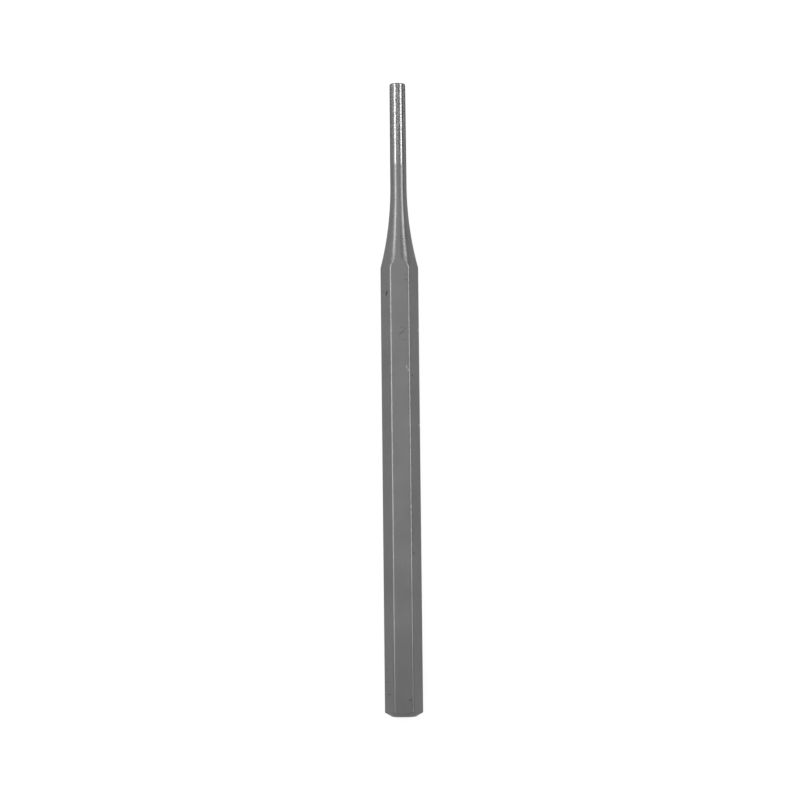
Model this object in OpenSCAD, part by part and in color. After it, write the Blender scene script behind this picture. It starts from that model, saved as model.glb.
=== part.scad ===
// Pin punch made from one hexagonal steel bar, with a grey coat over all but the end of its pin.
// It lies on one of the shank's flats, with its axis along X and the pin towards +X.
// The origin is under the middle of its length, on the surface that it rests on, and +Z is up.

/* [Overall] */
// Length from the struck face to the end of the pin
overall_l = 150; // [110:1:250]

/* [Shank] */
// Width across the flats of the hexagonal shank
shank_af = 8; // [6:0.1:14]
// Radius of the shank's six long edges
shank_edge_r = 0.9; // [0.3:0.1:1.5]

/* [Struck end] */
// Diameter of the flat face that the hammer strikes
struck_face_d = 5.5; // [3:0.1:7.4]
// Angle of the chamfer around that face, measured from the face
struck_chamfer = 30; // [15:1:60]

/* [Pin] */
// Diameter of the parallel pin
pin_d = 3.9; // [1.5:0.1:6.5]
// Length of the parallel pin, from its end to the start of the neck
pin_l = 24.5; // [10:0.5:60]
// Chamfer around the pin's end
tip_chamfer = 0.25; // [0.1:0.05:0.7]

/* [Neck] */
// Radius of the hollow curve that runs from the pin into the six flats
neck_curve_r = 78; // [15:1:150]

/* [Coat] */
// Thickness of the grey coat, which lies level with the bare steel of the pin
coat_t = 0.08; // [0.05:0.01:0.2]
// Length of the pin that the coat covers, from the start of the neck
coated_pin_l = 5; // [1:0.5:8]

/* [Hidden] */
$fn = 128;
// How far a cutting shape runs past the part
overrun = 1;

// The hexagonal shank
sides = 6;
side_angle = 360 / sides;
half_side_angle = side_angle / 2;
// Distances from the axis to the centre of each rounded edge, and to the line where it stands out most
edge_centre_r = (shank_af / 2 - shank_edge_r) / cos(half_side_angle);
shank_corner_r = edge_centre_r + shank_edge_r;
// The turned form is wider than the shank, so that it cuts only at the chamfer and the neck
turned_r = shank_corner_r + overrun;

// The pin, and the places where it and its bare steel start, from the struck face
pin_r = pin_d / 2;
neck_z = overall_l - pin_l;
coat_end_z = neck_z + coated_pin_l;

function polar(r, angle) = [r * cos(angle), r * sin(angle)];

// Section of the shank with its rounded edges. Here and below, inset is taken off on every side.
module shank_section(inset) {
    edge_r = shank_edge_r - inset;
    polygon([
        for (i = [0 : sides - 1], turn = [-half_side_angle, half_side_angle])
            polar(edge_centre_r, i * side_angle) + polar(edge_r, i * side_angle + turn)
    ]);
    for (i = [0 : sides - 1])
        translate(polar(edge_centre_r, i * side_angle)) circle(r = edge_r);
}

// Half section of what the lathe leaves: the struck face, its chamfer and the hollow neck,
// with the first part of the pin where pin_part_l isn't zero
module turned_section(inset, pin_part_l) {
    face_r = struck_face_d / 2 - inset * tan(struck_chamfer / 2);
    chamfer_l = (turned_r - face_r) * tan(struck_chamfer);
    difference() {
        polygon([
            [0, inset],
            [face_r, inset],
            [turned_r, inset + chamfer_l],
            [turned_r, neck_z],
            [0, neck_z]
        ]);
        translate([pin_r + neck_curve_r, neck_z]) circle(r = neck_curve_r + inset);
    }
    if (pin_part_l > 0)
        translate([0, neck_z]) square([pin_r - inset, pin_part_l]);
}

// The bar after turning. The lathe leaves its flats and rounded edges along the shank.
module turned_bar(inset = 0, pin_part_l = 0) {
    intersection() {
        linear_extrude(neck_z + pin_part_l) shank_section(inset);
        rotate_extrude() turned_section(inset, pin_part_l);
    }
}

// Lays a shape that stands on its struck face down on one flat, with its pin towards +X
module lay_down() {
    translate([-overall_l / 2, 0, shank_af / 2]) rotate([90, 0, 90]) children();
}

module steel_shank() {
    color("gainsboro") lay_down() turned_bar(coat_t);
}

module steel_pin() {
    color("gainsboro") lay_down() rotate_extrude() polygon([
        [0, neck_z],
        [pin_r - coat_t, neck_z],
        [pin_r - coat_t, coat_end_z],
        [pin_r, coat_end_z],
        [pin_r, overall_l - tip_chamfer],
        [pin_r - tip_chamfer, overall_l],
        [0, overall_l]
    ]);
}

module grey_coat() {
    color("gray") lay_down() difference() {
        turned_bar(0, coated_pin_l);
        turned_bar(coat_t, coated_pin_l + overrun);
    }
}

steel_shank();
steel_pin();
grey_coat();
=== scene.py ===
"""Pin punch lying on a pale studio floor.

A hexagonal bar of tool steel is turned down at one end, through a hollow neck, to a thin round pin. A
satin grey lacquer covers all of it but the end of the pin, where the ground steel is bare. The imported
model gives the places and main sizes, and this script builds and dresses the surfaces that show. Lengths
are in metres, and a named size is written in millimetres times MM.
"""

import logging
import math
from collections.abc import Iterator
from dataclasses import dataclass, field
from enum import Enum

import bmesh
import bpy
from mathutils import Matrix, Vector, noise


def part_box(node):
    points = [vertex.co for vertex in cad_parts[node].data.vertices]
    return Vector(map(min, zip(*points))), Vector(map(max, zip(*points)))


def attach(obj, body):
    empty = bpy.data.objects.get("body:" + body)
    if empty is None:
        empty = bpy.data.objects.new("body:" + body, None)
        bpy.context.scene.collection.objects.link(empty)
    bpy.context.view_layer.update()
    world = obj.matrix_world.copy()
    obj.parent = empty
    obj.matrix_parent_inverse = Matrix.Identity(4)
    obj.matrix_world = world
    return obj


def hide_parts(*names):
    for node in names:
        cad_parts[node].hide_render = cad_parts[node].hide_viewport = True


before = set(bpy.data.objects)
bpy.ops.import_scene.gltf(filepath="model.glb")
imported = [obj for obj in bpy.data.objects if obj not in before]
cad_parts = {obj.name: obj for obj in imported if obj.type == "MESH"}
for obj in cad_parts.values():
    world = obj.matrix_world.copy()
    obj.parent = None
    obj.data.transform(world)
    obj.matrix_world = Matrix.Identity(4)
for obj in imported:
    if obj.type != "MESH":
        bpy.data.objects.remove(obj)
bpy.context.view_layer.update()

MM = 0.001
BODY = "root"
SIDES = 6
# Points closer than this are one point
MERGE_DISTANCE = 0.0005 * MM
# Segments of each small rounded edge
ROUNDING_SEGMENTS = 3
# A noise texture's values spread evenly around this one
NOISE_MIDDLE = 0.5

log = logging.getLogger("pin_punch")


def linear(colour: str) -> tuple[float, float, float, float]:
    """Turns an sRGB colour to the linear one that a shader takes.

    Args:
        colour: the colour as "#rrggbb".

    Returns:
        Red, green, blue and an alpha of 1.
    """
    parts = (int(colour[i : i + 2], 16) / 255 for i in (1, 3, 5))
    red, green, blue = (p / 12.92 if p <= 0.04045 else ((p + 0.055) / 1.055) ** 2.4 for p in parts)
    return red, green, blue, 1.0


def per_mm(size_mm: float) -> float:
    """Gives the texture scale at which one feature of a pattern measures size_mm."""
    return 1 / (size_mm * MM)


def add_node(
    tree: bpy.types.NodeTree, kind: str, inputs: dict | None = None, **settings: object
) -> bpy.types.Node:
    """Adds one node with its settings, values and links.

    Args:
        tree: the node tree that the node goes into.
        kind: the node's type, without the word that all shader nodes start with.
        inputs: a value, or the socket to link from, for each input's name, number or identifier.
        **settings: the node's own properties.

    Returns:
        The new node.
    """
    node = tree.nodes.new("ShaderNode" + kind)
    for name, value in settings.items():
        setattr(node, name, value)
    by_identifier = {socket.identifier: socket for socket in node.inputs}
    for name, value in (inputs or {}).items():
        socket = by_identifier.get(name) or node.inputs[name]
        if isinstance(value, bpy.types.NodeSocket):
            tree.links.new(value, socket)
        else:
            socket.default_value = value
    return node


def new_material(name: str) -> tuple[bpy.types.Material, bpy.types.NodeTree]:
    """Makes an empty node material.

    Args:
        name: the material's name.

    Returns:
        The material and its node tree.
    """
    material = bpy.data.materials.new(name)
    material.use_nodes = True
    material.node_tree.nodes.clear()
    return material, material.node_tree


def new_piece(name: str, mesh: bmesh.types.BMesh) -> bpy.types.Object:
    """Turns a finished bmesh into a smooth-shaded object at the origin, with its open edges sharp.

    Args:
        name: the object's name.
        mesh: the bmesh, which is freed.

    Returns:
        The object, linked to the scene.
    """
    bmesh.ops.remove_doubles(mesh, verts=mesh.verts, dist=MERGE_DISTANCE)
    bmesh.ops.recalc_face_normals(mesh, faces=mesh.faces)
    for face in mesh.faces:
        face.smooth = True
    for edge in mesh.edges:
        edge.smooth = not edge.is_boundary
    data = bpy.data.meshes.new(name)
    mesh.to_mesh(data)
    mesh.free()
    piece = bpy.data.objects.new(name, data)
    bpy.context.scene.collection.objects.link(piece)
    return piece


def soft_min(first: float, second: float, blend: float) -> float:
    """Gives the smaller of two lengths, rounded off where they are nearly the same.

    Args:
        first: one length.
        second: the other length.
        blend: how far apart the lengths are where the rounding starts.

    Returns:
        The rounded smaller length.
    """
    share = max(blend - abs(first - second), 0.0) / blend
    # A quarter is the depth at which both sides of the rounding meet without a kink
    return min(first, second) - share**2 * blend / 4


# How deep a mark reaches around its middle, and the share of it that has the mark's full strength
MARK_DEPTH = 1.5 * MM
MARK_CORE_SHARE = 0.5


@dataclass(frozen=True)
class Mark:
    """A small wear mark, as an ellipse on the coat. Lengths are in mm and the turn is in degrees."""

    x: float
    y: float
    z: float
    length: float
    width: float
    turn: float = 0.0
    strength: float = 1.0

    def mask(self, tree: bpy.types.NodeTree, place: bpy.types.NodeSocket) -> bpy.types.NodeSocket:
        """Adds the nodes that find the mark.

        Args:
            tree: the material's node tree.
            place: the surface's place, in metres.

        Returns:
            A socket that has the mark's strength at its middle and falls to 0 at its edge.
        """
        local = add_node(
            tree,
            "Mapping",
            {
                "Vector": place,
                "Location": (self.x * MM, self.y * MM, self.z * MM),
                "Rotation": (0.0, 0.0, math.radians(self.turn)),
                "Scale": (self.length / 2 * MM, self.width / 2 * MM, MARK_DEPTH),
            },
            vector_type="TEXTURE",
        )
        reach = add_node(tree, "VectorMath", {0: local.outputs["Vector"]}, operation="LENGTH")
        inside = {
            "Value": reach.outputs["Value"],
            "From Min": 1.0,
            "From Max": MARK_CORE_SHARE,
            "To Min": 0.0,
            "To Max": self.strength,
        }
        return add_node(tree, "MapRange", inside).outputs["Result"]


# Places where the coat is chipped to dark scale, and where it is rubbed to bright steel
DARK_MARKS = (
    Mark(24.5, 3.08, 6.66, 1.7, 0.5, turn=-14),
    Mark(25.1, 3.75, 5.5, 0.3, 0.5, strength=0.6),
    Mark(28.7, -1.65, 8.0, 0.22, 1.5, strength=0.45),
    Mark(27.5, -1.6, 8.0, 0.22, 1.5, strength=0.45),
    Mark(15.0, -0.4, 8.0, 0.26, 2.4, turn=34, strength=0.7),
    Mark(15.95, -1.2, 8.0, 0.9, 0.4, turn=-20, strength=0.4),
    Mark(16.2, -0.4, 8.0, 0.3, 1.2, turn=20, strength=0.3),
    Mark(13.3, -0.85, 8.0, 0.2, 2.0, strength=0.35),
    Mark(4.9, -2.83, 7.09, 0.5, 0.35),
    Mark(-36.9, -2.72, 7.29, 0.6, 0.4),
    Mark(-71.0, -1.55, 8.0, 0.4, 0.85, turn=10, strength=0.8),
    Mark(-69.7, 3.3, 6.3, 0.28, 1.1, strength=0.8),
    Mark(46.9, 0.84, 5.9, 0.22, 0.6),
    Mark(37.4, -1.05, 6.7, 0.4, 0.3),
    Mark(-64.0, 3.85, 5.3, 0.4, 0.7, strength=0.5),
    Mark(-66.8, 3.9, 5.25, 0.4, 0.6, strength=0.6),
)
BRIGHT_MARKS = (
    Mark(6.9, -1.5, 8.0, 0.9, 0.25, turn=-20),
    Mark(6.2, -1.85, 8.0, 0.6, 0.3),
    Mark(15.8, -4.35, 4.4, 0.7, 0.3),
    Mark(-6.7, -4.3, 4.6, 0.9, 0.3),
    Mark(37.7, -0.95, 6.7, 0.3, 0.25),
)


@dataclass(frozen=True)
class FlakeLacquer:
    """Grey metallic lacquer with fine flakes, sprayed on drawn steel bar and baked.

    It gives a dark grey with a soft metallic gloss, the faint lengthwise lines of the drawn bar under it, a
    fine spray grain, and a few chips and rubbed specks.
    """

    name: str = "satin_grey_flake_lacquer"
    colour: str = "#606060"
    cloud_colour: str = "#6e6e6e"
    metallic: float = 0.6
    roughness: float = 0.28
    ior: float = 1.5
    edge_tint: str = "#b0b0b0"
    cloud_mm: float = 7.0
    # Spray grain is about 0.05 mm across. It is drawn coarser, so that it shows at this distance.
    grain_mm: float = 0.28
    grain_depth: float = 0.005 * MM
    draw_line_mm: float = 0.35
    draw_line_length_mm: float = 45.0
    draw_line_depth: float = 0.014 * MM
    chip_colour: str = "#303030"
    steel_colour: str = "#a0a0a0"

    def wear(self, tree: bpy.types.NodeTree, place: bpy.types.NodeSocket) -> dict[str, bpy.types.NodeSocket]:
        """Adds the nodes that find the worn places.

        Args:
            tree: the material's node tree.
            place: the surface's place, in metres.

        Returns:
            The socket of the dark places and that of the bright ones.
        """
        masks = {}
        for name, marks in (("dark", DARK_MARKS), ("bright", BRIGHT_MARKS)):
            sockets = [mark.mask(tree, place) for mark in marks]
            masks[name] = sockets[0]
            for socket in sockets[1:]:
                masks[name] = add_node(
                    tree, "Math", {0: masks[name], 1: socket}, operation="MAXIMUM"
                ).outputs[0]
        return masks

    def build(self) -> bpy.types.Material:
        """Builds the material.

        Returns:
            The material.
        """
        material, tree = new_material(self.name)
        place = add_node(tree, "TexCoord").outputs["Object"]
        squeeze = self.draw_line_mm / self.draw_line_length_mm
        along = add_node(tree, "Mapping", {"Vector": place, "Scale": (squeeze, 1.0, 1.0)}).outputs["Vector"]
        clouds = add_node(tree, "TexNoise", {"Vector": place, "Scale": per_mm(self.cloud_mm), "Detail": 3.0})
        grain = add_node(tree, "TexNoise", {"Vector": place, "Scale": per_mm(self.grain_mm), "Detail": 2.0})
        lines = add_node(
            tree, "TexNoise", {"Vector": along, "Scale": per_mm(self.draw_line_mm), "Detail": 1.0}
        )
        tone = add_node(
            tree,
            "Mix",
            {
                "Factor_Float": clouds.outputs["Fac"],
                "A_Color": linear(self.colour),
                "B_Color": linear(self.cloud_colour),
            },
            data_type="RGBA",
        )
        colour = tone.outputs[2]
        worn = self.wear(tree, place)
        for name, worn_colour in (("dark", self.chip_colour), ("bright", self.steel_colour)):
            factors = {"Factor_Float": worn[name], "A_Color": colour, "B_Color": linear(worn_colour)}
            colour = add_node(tree, "Mix", factors, data_type="RGBA").outputs[2]
        line_bump = add_node(
            tree, "Bump", {"Strength": 1.0, "Distance": self.draw_line_depth, "Height": lines.outputs["Fac"]}
        )
        grain_bump = add_node(
            tree,
            "Bump",
            {
                "Strength": 1.0,
                "Distance": self.grain_depth,
                "Height": grain.outputs["Fac"],
                "Normal": line_bump.outputs["Normal"],
            },
        )
        surface = add_node(
            tree,
            "BsdfPrincipled",
            {
                "Base Color": colour,
                "Metallic": self.metallic,
                "Roughness": self.roughness,
                "IOR": self.ior,
                "Specular Tint": linear(self.edge_tint),
                "Normal": grain_bump.outputs["Normal"],
            },
        )
        add_node(tree, "OutputMaterial", {"Surface": surface.outputs["BSDF"]})
        return material


@dataclass(frozen=True)
class GroundSteel:
    """Chrome vanadium tool steel, ground between wheels, so that fine lines run around the pin.

    It gives a bright mirror with a short blur along the pin, broken up by a fine speckle.
    """

    name: str = "ground_tool_steel"
    colour: str = "#6e6e6e"
    edge_tint: str = "#989898"
    roughness: float = 0.22
    # The grit leaves lines about 0.02 mm apart. They are drawn coarser, so that they show at this distance.
    line_mm: float = 0.2
    line_length_mm: float = 2.5
    line_depth: float = 0.004 * MM
    # Pits and bright specks, thickest at the pin's end, which has struck the most
    pit_colour: str = "#3c3c3c"
    speck_colour: str = "#989898"
    speckle_mm: float = 0.24
    speckle_depth: float = 0.018 * MM
    speckle_spread: float = 0.12
    speckle_from_x: float = 56 * MM
    speckle_to_x: float = 70 * MM
    speckle_least: float = 0.2
    speckle_most: float = 0.8

    def build(self) -> bpy.types.Material:
        """Builds the material.

        Returns:
            The material.
        """
        material, tree = new_material(self.name)
        place = add_node(tree, "TexCoord").outputs["Object"]
        squeeze = self.line_mm / self.line_length_mm
        ring_scale = (1.0, squeeze, squeeze)
        around = add_node(tree, "Mapping", {"Vector": place, "Scale": ring_scale}).outputs["Vector"]
        lines = add_node(tree, "TexNoise", {"Vector": around, "Scale": per_mm(self.line_mm), "Detail": 2.0})
        speckle = add_node(
            tree, "TexNoise", {"Vector": place, "Scale": per_mm(self.speckle_mm), "Detail": 2.0}
        )
        spread = {
            "Value": speckle.outputs["Fac"],
            "From Min": NOISE_MIDDLE - self.speckle_spread,
            "From Max": NOISE_MIDDLE + self.speckle_spread,
        }
        tone = add_node(tree, "MapRange", spread).outputs["Result"]
        tones = {
            "Factor_Float": tone,
            "A_Color": linear(self.pit_colour),
            "B_Color": linear(self.speck_colour),
        }
        speckled = add_node(tree, "Mix", tones, data_type="RGBA").outputs[2]
        along = {
            "Value": add_node(tree, "SeparateXYZ", {"Vector": place}).outputs["X"],
            "From Min": self.speckle_from_x,
            "From Max": self.speckle_to_x,
            "To Min": self.speckle_least,
            "To Max": self.speckle_most,
        }
        share = add_node(tree, "MapRange", along).outputs["Result"]
        tones = {"Factor_Float": share, "A_Color": linear(self.colour), "B_Color": speckled}
        colour = add_node(tree, "Mix", tones, data_type="RGBA").outputs[2]
        line_bump = add_node(
            tree, "Bump", {"Strength": 1.0, "Distance": self.line_depth, "Height": lines.outputs["Fac"]}
        )
        pits = {
            "Strength": share,
            "Distance": self.speckle_depth,
            "Height": speckle.outputs["Fac"],
            "Normal": line_bump.outputs["Normal"],
        }
        bump = add_node(tree, "Bump", pits)
        surface = add_node(
            tree,
            "BsdfPrincipled",
            {
                "Base Color": colour,
                "Metallic": 1.0,
                "Roughness": self.roughness,
                "Specular Tint": linear(self.edge_tint),
                "Normal": bump.outputs["Normal"],
            },
        )
        add_node(tree, "OutputMaterial", {"Surface": surface.outputs["BSDF"]})
        return material


@dataclass(frozen=True)
class BackgroundPaper:
    """Matt white background paper, which looks white behind the punch and keeps the punch's soft shadow."""

    name: str = "matt_background_paper"
    colour: str = "#787878"
    glow: float = 0.86

    def build(self) -> bpy.types.Material:
        """Builds the material.

        Returns:
            The material.
        """
        material, tree = new_material(self.name)
        rays = add_node(tree, "LightPath").outputs
        seen = rays["Is Camera Ray"]
        for ray in ("Is Glossy Ray", "Is Transmission Ray"):
            seen = add_node(tree, "Math", {0: seen, 1: rays[ray]}, operation="MAXIMUM").outputs[0]
        strength = add_node(tree, "Math", {0: seen, 1: self.glow}, operation="MULTIPLY").outputs[0]
        paper = add_node(tree, "BsdfDiffuse", {"Color": linear(self.colour)})
        glow = add_node(tree, "Emission", {"Strength": strength})
        both = add_node(tree, "AddShader", {0: paper.outputs[0], 1: glow.outputs[0]})
        add_node(tree, "OutputMaterial", {"Surface": both.outputs[0]})
        return material


@dataclass
class Coat:
    """The grey coat: a skin over the shank, the struck end, the neck and the first part of the pin."""

    low: Vector
    high: Vector
    neck_x: float
    pin_radius: float
    thickness: float = 0.08 * MM
    edge_rounding: float = 0.9 * MM
    edge_steps: int = 10
    flat_steps: int = 22
    struck_face_radius: float = 2.75 * MM
    struck_chamfer: float = math.radians(30)
    struck_rim: float = 0.12 * MM
    neck_curve_radius: float = 78 * MM
    # Rings of points lie close together where the chamfer and the neck run out on the flats and edges
    chamfer_from: float = 0.6 * MM
    chamfer_to: float = 1.15 * MM
    scallops_from: float = 20.4 * MM
    scallops_to: float = 17.2 * MM
    face_ring_gap: float = 0.2 * MM
    chamfer_ring_gap: float = 0.05 * MM
    shank_ring_gap: float = 1.2 * MM
    scallop_ring_gap: float = 0.06 * MM
    neck_ring_gap: float = 0.5 * MM
    # How far the coat rounds off the line where a turned surface meets a flat
    softness: float = 0.1 * MM
    end_raggedness: float = 0.04 * MM
    finish: FlakeLacquer = field(default_factory=FlakeLacquer)

    @property
    def half_flats(self) -> float:
        """Distance from the axis to a flat."""
        return (self.high.z - self.low.z) / 2

    @property
    def axis_height(self) -> float:
        """Height of the punch's axis."""
        return (self.high.z + self.low.z) / 2

    def turned_radius(self, x: float) -> float:
        """Gives the radius that the lathe leaves at a place along the punch.

        Args:
            x: the place along the punch.

        Returns:
            The smaller of the chamfer's radius and the hollow neck's.
        """
        chamfer = self.struck_face_radius + (x - self.low.x) / math.tan(self.struck_chamfer)
        curve = self.neck_curve_radius
        into_neck = min(max(self.neck_x - x, 0.0), curve)
        hollow = self.pin_radius + curve - math.sqrt(curve**2 - into_neck**2)
        return min(chamfer, hollow)

    def stations(self) -> Iterator[float]:
        """Gives the places of the rings along the punch, close together where the shape changes.

        Returns:
            An iterator over the places after the struck face, up to the coat's end.
        """
        zones = (
            (self.low.x + self.chamfer_from, self.face_ring_gap),
            (self.low.x + self.chamfer_to, self.chamfer_ring_gap),
            (self.neck_x - self.scallops_from, self.shank_ring_gap),
            (self.neck_x - self.scallops_to, self.scallop_ring_gap),
            (self.neck_x, self.neck_ring_gap),
            (self.high.x, self.neck_ring_gap),
        )
        start = self.low.x
        for end, step in zones:
            count = math.ceil((end - start) / step)
            for i in range(1, count + 1):
                yield start + (end - start) * i / count
            start = end

    def section(self, mesh: bmesh.types.BMesh) -> list[bmesh.types.BMEdge]:
        """Draws the shank's section at the struck face: a hexagon with rounded corners.

        Args:
            mesh: the bmesh to draw it in.

        Returns:
            The section's edges.
        """
        turn = 2 * math.pi / SIDES
        corner_radius = (self.half_flats - self.edge_rounding) / math.cos(turn / 2)
        arcs = []
        for i in range(SIDES):
            corner = Vector((0, math.cos(i * turn), math.sin(i * turn))) * corner_radius
            corner += Vector((self.low.x, 0, self.axis_height))
            before = i * turn - turn / 2
            spoke = Vector((0, math.cos(before), math.sin(before))) * self.edge_rounding
            first = mesh.verts.new(corner + spoke)
            spun = bmesh.ops.spin(
                mesh, geom=[first], cent=corner, axis=(1, 0, 0), angle=turn, steps=self.edge_steps
            )
            arcs.append((first, spun["geom_last"][0]))
        flats = [mesh.edges.new((arcs[i - 1][1], arcs[i][0])) for i in range(SIDES)]
        bmesh.ops.subdivide_edges(mesh, edges=flats, cuts=self.flat_steps - 1)
        return list(mesh.edges)

    def draw_out(self, mesh: bmesh.types.BMesh, ring: list[bmesh.types.BMEdge]) -> list[bmesh.types.BMVert]:
        """Draws the section out along the punch, ring by ring.

        Args:
            mesh: the bmesh.
            ring: the section's edges, at the struck face.

        Returns:
            The points of the last ring.
        """
        reached = self.low.x
        for place in self.stations():
            made = bmesh.ops.extrude_edge_only(mesh, edges=ring)["geom"]
            points = [g for g in made if isinstance(g, bmesh.types.BMVert)]
            new = set(points)
            ring = [g for g in made if isinstance(g, bmesh.types.BMEdge) and new.issuperset(g.verts)]
            bmesh.ops.translate(mesh, verts=points, vec=(place - reached, 0, 0))
            reached = place
        return points

    def turn(self, mesh: bmesh.types.BMesh) -> None:
        """Turns the drawn bar down to the chamfer and the neck, where they lie inside it.

        Args:
            mesh: the bmesh.
        """
        for point in mesh.verts:
            axis = Vector((point.co.x, 0, self.axis_height))
            spoke = point.co - axis
            radius = soft_min(spoke.length, self.turned_radius(point.co.x), self.softness)
            point.co = axis + spoke.normalized() * radius

    def build(self) -> bpy.types.Object:
        """Builds the skin.

        Returns:
            The coat's object.
        """
        mesh = bmesh.new()
        section = self.section(mesh)
        end = self.draw_out(mesh, section)
        self.turn(mesh)
        for point in end:
            point.co.x += self.end_raggedness * noise.noise(point.co / MM)
        bmesh.ops.edgeloop_fill(mesh, edges=section)
        bmesh.ops.bevel(
            mesh,
            geom=section,
            offset=self.struck_rim,
            segments=ROUNDING_SEGMENTS,
            profile=0.5,
            affect="EDGES",
            material=-1,
        )
        piece = new_piece("grey_coat_skin", mesh)
        wall = piece.modifiers.new("wall", "SOLIDIFY")
        wall.thickness = self.thickness
        wall.offset = -1.0
        wall.use_even_offset = True
        piece.modifiers.new("even_shading", "WEIGHTED_NORMAL").keep_sharp = True
        return piece

    def dress(self, piece: bpy.types.Object) -> None:
        """Gives the skin its finish and its place in the frame.

        Args:
            piece: the coat's object.
        """
        piece.data.materials.append(self.finish.build())
        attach(piece, BODY)
        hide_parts("grey_coat")


@dataclass
class Pin:
    """The pin's steel: bare and ground at its end, and thinner by the coat where the coat covers it."""

    low: Vector
    high: Vector
    coat_end: float
    coat_thickness: float
    tip_radius: float = 1.885 * MM
    bare_root_radius: float = 1.93 * MM
    tip_chamfer: float = 0.18 * MM
    chamfer_rounding: float = 0.07 * MM
    # The steel steps up under the coat's edge, so that no gap shows at the ragged line
    step_cover: float = 0.1 * MM
    around_steps: int = 128

    @property
    def axis_height(self) -> float:
        """Height of the punch's axis."""
        return (self.high.z + self.low.z) / 2

    def build(self) -> bpy.types.Object:
        """Builds the pin by spinning its half section about the axis.

        Returns:
            The pin's object.
        """
        core = self.high.y - self.coat_thickness
        step = self.coat_end - self.step_cover
        half_section = (
            (self.low.x, 0.0),
            (self.low.x, core),
            (step, core),
            (step, self.bare_root_radius),
            (self.high.x - self.tip_chamfer, self.tip_radius),
            (self.high.x, self.tip_radius - self.tip_chamfer),
            (self.high.x, 0.0),
        )
        mesh = bmesh.new()
        points = [mesh.verts.new((x, 0, self.axis_height + radius)) for x, radius in half_section]
        for pair in zip(points, points[1:]):
            mesh.edges.new(pair)
        chamfer_corners = points[4:6]
        bmesh.ops.bevel(
            mesh,
            geom=chamfer_corners,
            offset=self.chamfer_rounding,
            segments=ROUNDING_SEGMENTS,
            profile=0.5,
            affect="VERTICES",
            material=-1,
        )
        bmesh.ops.spin(
            mesh,
            geom=list(mesh.verts) + list(mesh.edges),
            cent=(0, 0, self.axis_height),
            axis=(1, 0, 0),
            angle=2 * math.pi,
            steps=self.around_steps,
            use_merge=True,
        )
        piece = new_piece("ground_pin", mesh)
        piece.modifiers.new("even_shading", "WEIGHTED_NORMAL")
        return piece

    def dress(self, piece: bpy.types.Object, steel: bpy.types.Material) -> None:
        """Gives the pin its finish and its place in the frame.

        Args:
            piece: the pin's object.
            steel: the ground steel.
        """
        piece.data.materials.append(steel)
        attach(piece, BODY)
        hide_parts("steel_pin")


class Side(Enum):
    """The sides of the punch that a lamp can stand on. The value is the way there, as X and Y."""

    LEFT = (0, 1)
    RIGHT = (0, -1)
    PIN_END = (1, 0)
    STRUCK_END = (-1, 0)


@dataclass(frozen=True)
class LeaningLamp:
    """One rectangular lamp that stands beside the punch and leans over towards it."""

    name: str
    side: Side
    # How far it stands from straight above the punch
    angle: float
    distance: float
    # Its size along its level edges, and along those that lean
    length: float
    width: float
    power: float
    # How far it is moved along the punch, towards the pin
    forward: float = 0.0


# The lamps along the two long sides hang in a row, and those at the two ends are alike
SIDE_ROW = {"distance": 450 * MM, "length": 380 * MM, "forward": 115 * MM}
END_LAMP = {
    "angle": math.radians(62),
    "distance": 700 * MM,
    "length": 1300 * MM,
    "width": 500 * MM,
    "power": 1.5,
}
# A bright strip lamp on each side. The dim fill next to it makes one edge of its reflection soft. A large
# dim fill at each end is mirrored in the steel only where the punch is seen from its side or its end.
LEANING_LAMPS = (
    LeaningLamp("left_strip", Side.LEFT, angle=math.radians(40.5), width=145 * MM, power=1.49, **SIDE_ROW),
    LeaningLamp("left_fill", Side.LEFT, angle=math.radians(65), width=240 * MM, power=0.33, **SIDE_ROW),
    LeaningLamp("right_strip", Side.RIGHT, angle=math.radians(48), width=130 * MM, power=1.34, **SIDE_ROW),
    LeaningLamp("right_fill", Side.RIGHT, angle=math.radians(26), width=205 * MM, power=0.19, **SIDE_ROW),
    LeaningLamp("pin_end_fill", Side.PIN_END, **END_LAMP),
    LeaningLamp("struck_end_fill", Side.STRUCK_END, **END_LAMP),
)


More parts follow.
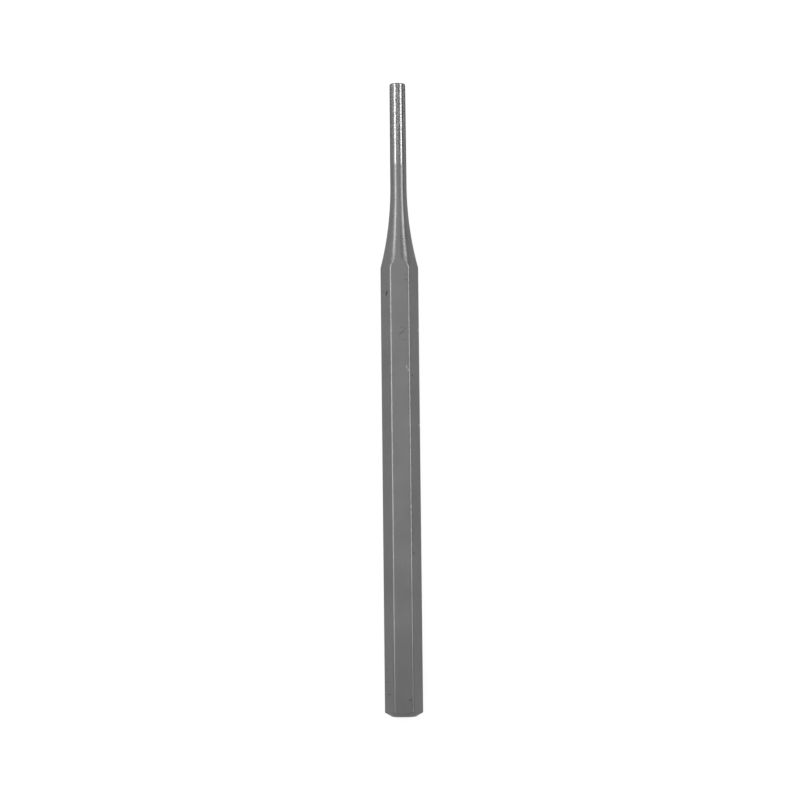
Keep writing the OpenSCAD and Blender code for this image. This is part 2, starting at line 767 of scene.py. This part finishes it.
@dataclass
class Studio:
    """The floor, the lamps, the world and the camera."""

    centre: Vector
    camera_distance: float = 600 * MM
    camera_tilt: float = math.radians(4.407)
    camera_lean: float = math.radians(0.617)
    focal_share: float = 2538 / 800
    # Place of the punch's middle in the picture, to the right of and above the picture's middle
    middle_right_share: float = 0.695 / 800
    middle_up_share: float = 2.6 / 800
    softbox_height: float = 800 * MM
    softbox_length: float = 880 * MM
    softbox_width: float = 480 * MM
    softbox_forward: float = 325 * MM
    softbox_left: float = 70 * MM
    softbox_power: float = 1.8
    world_colour: str = "#585858"
    floor_radius: float = 1500 * MM
    floor_rim: float = 300 * MM
    floor_steps: int = 96
    rim_steps: int = 16
    # The floor lies a hair below the punch, so that the two don't coincide
    floor_gap: float = 0.01 * MM
    paper: BackgroundPaper = field(default_factory=BackgroundPaper)

    def place_camera(self) -> None:
        """Puts the camera above the punch, nearer to its struck end, with the pin at the picture's top."""
        data = bpy.data.cameras.new("camera")
        data.lens = self.focal_share * data.sensor_width
        camera = bpy.data.objects.new("camera", data)
        bpy.context.scene.collection.objects.link(camera)
        up = Vector((math.cos(self.camera_tilt), 0, math.sin(self.camera_tilt)))
        back = Vector((-math.sin(self.camera_tilt), 0, math.cos(self.camera_tilt)))
        right = up.cross(back)
        picture_width = self.camera_distance / self.focal_share
        lean = Matrix.Rotation(-self.camera_lean, 3, back)
        right, up = lean @ right, lean @ up
        aim = self.centre - picture_width * (self.middle_right_share * right + self.middle_up_share * up)
        camera.matrix_world = Matrix.Translation(aim + self.camera_distance * back) @ Matrix(
            (right, up, back)
        ).transposed().to_4x4()
        bpy.context.scene.camera = camera

    def hang_lamp(
        self, name: str, size: tuple[float, float], power: float, place: Vector, away: Vector
    ) -> None:
        """Hangs one rectangular lamp.

        Args:
            name: the lamp's name.
            size: its length along its level edges, and along its other edges.
            power: its power in watts.
            place: the lamp's middle.
            away: the direction that its back faces.
        """
        data = bpy.data.lights.new(name, "AREA")
        data.shape = "RECTANGLE"
        data.size, data.size_y = size
        data.energy = power
        lamp = bpy.data.objects.new(name, data)
        bpy.context.scene.collection.objects.link(lamp)
        lamp.rotation_euler = away.to_track_quat("Z", "Y").to_euler()
        lamp.location = place
        lamp.visible_camera = False

    def hang_lamps(self) -> None:
        """Hangs the lamps that stand around the punch and a softbox above it."""
        up = Vector((0, 0, 1))
        for lamp in LEANING_LAMPS:
            away = math.sin(lamp.angle) * Vector((*lamp.side.value, 0)) + math.cos(lamp.angle) * up
            place = self.centre + lamp.distance * away + Vector((lamp.forward, 0, 0))
            self.hang_lamp(lamp.name, (lamp.length, lamp.width), lamp.power, place, away)
        above = self.centre + Vector((self.softbox_forward, self.softbox_left, self.softbox_height))
        size = (self.softbox_length, self.softbox_width)
        self.hang_lamp("softbox", size, self.softbox_power, above, up)

    def lay_floor(self) -> None:
        """Lays the floor that the punch lies on: a round sheet of paper that curves up at its rim."""
        mesh = bmesh.new()
        middle = mesh.verts.new((0, 0, -self.floor_gap))
        foot = mesh.verts.new((self.floor_radius - self.floor_rim, 0, -self.floor_gap))
        mesh.edges.new((middle, foot))
        sweep_centre = foot.co + Vector((0, 0, self.floor_rim))
        bmesh.ops.spin(
            mesh, geom=[foot], cent=sweep_centre, axis=(0, -1, 0), angle=math.pi / 2, steps=self.rim_steps
        )
        profile = list(mesh.verts) + list(mesh.edges)
        bmesh.ops.spin(
            mesh,
            geom=profile,
            cent=(0, 0, 0),
            axis=(0, 0, 1),
            angle=2 * math.pi,
            steps=self.floor_steps,
            use_merge=True,
        )
        floor = new_piece("floor", mesh)
        floor.data.materials.append(self.paper.build())

    def light_world(self) -> None:
        """Lights the scene evenly from all around."""
        world = bpy.data.worlds.new("studio")
        world.use_nodes = True
        world.node_tree.nodes.clear()
        sky = add_node(world.node_tree, "Background", {"Color": linear(self.world_colour)})
        add_node(world.node_tree, "OutputWorld", {"Surface": sky.outputs[0]})
        bpy.context.scene.world = world

    def build(self) -> None:
        """Sets up the whole studio."""
        self.place_camera()
        self.hang_lamps()
        self.lay_floor()
        self.light_world()
        bpy.context.scene.view_settings.view_transform = "Standard"


def main() -> None:
    """Builds the pin punch and its studio."""
    logging.basicConfig(level=logging.INFO, format="%(message)s")
    coat_low, coat_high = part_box("grey_coat")
    pin_low, pin_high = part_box("steel_pin")
    steel = GroundSteel().build()

    coat = Coat(coat_low, coat_high, neck_x=pin_low.x, pin_radius=pin_high.y)
    skin = coat.build()
    coat.dress(skin)
    log.info("%s: %d faces", skin.name, len(skin.data.polygons))

    pin = Pin(pin_low, pin_high, coat_end=coat_high.x, coat_thickness=coat.thickness)
    bare_pin = pin.build()
    pin.dress(bare_pin, steel)
    log.info("%s: %d faces", bare_pin.name, len(bare_pin.data.polygons))

    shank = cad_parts["steel_shank"]
    for slot in shank.material_slots:
        slot.material = steel
    log.info("%s: %d faces, kept from the packed model", shank.name, len(shank.data.polygons))

    Studio(centre=Vector((0, 0, coat.axis_height))).build()


if __name__ == "__main__":
    main()
